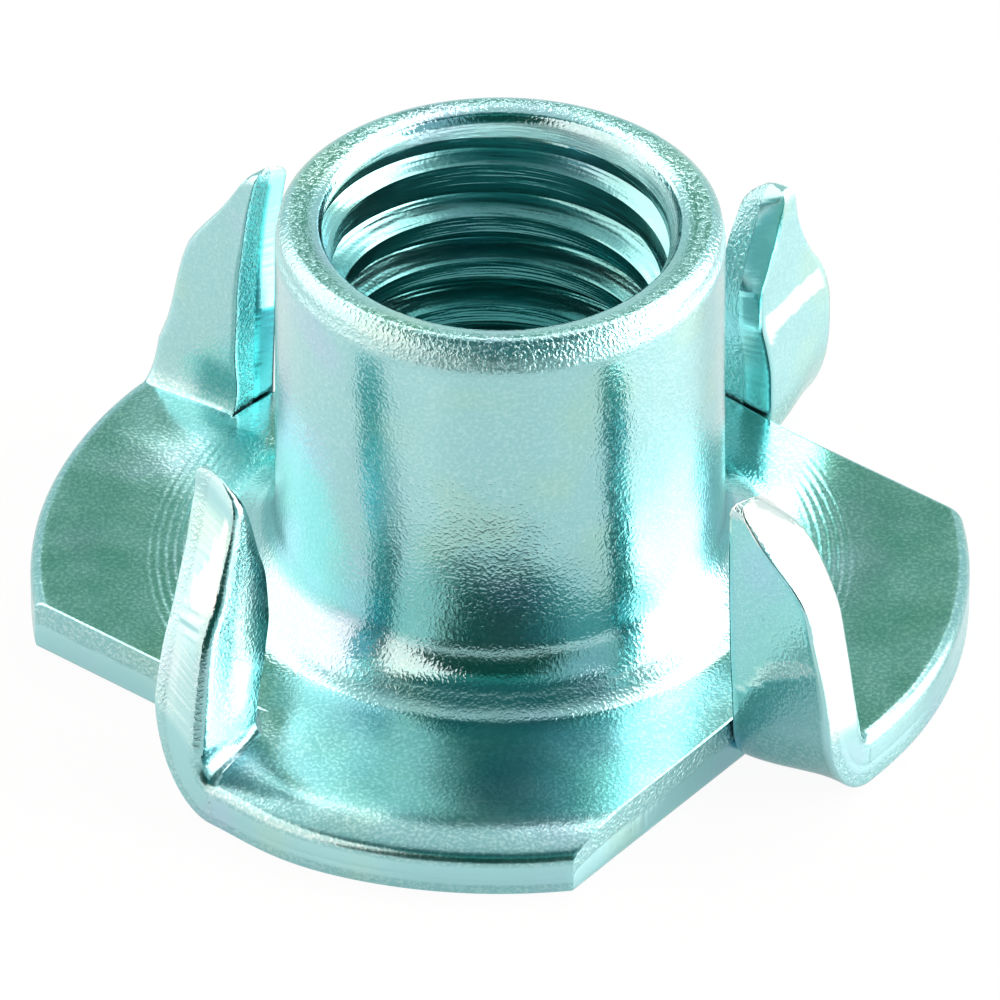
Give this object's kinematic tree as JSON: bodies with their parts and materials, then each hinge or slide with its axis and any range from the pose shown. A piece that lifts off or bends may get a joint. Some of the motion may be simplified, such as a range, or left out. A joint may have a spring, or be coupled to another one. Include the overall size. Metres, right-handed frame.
{
  "type": "tee nut",
  "caption": "Pressed steel tee nut: a threaded barrel drawn up from a flange whose slit rim is folded up into prongs that bite into wood.",
  "frame": {"origin": "on the barrel's axis, at the underside of the flange", "axes": "+Z along the barrel's axis, from the flange to the barrel's lip; the prongs' folds lie at 51.5 degrees from +X and at every quarter turn from there"},
  "size_m": [0.0254, 0.0254, 0.013],
  "materials": {
    "zinc_plate": "bright zinc plate with a blue-green passivation film over pressed sheet steel"
  },
  "bodies": {
    "root": {"tee_nut": "zinc_plate"}
  },
  "joints": []
}
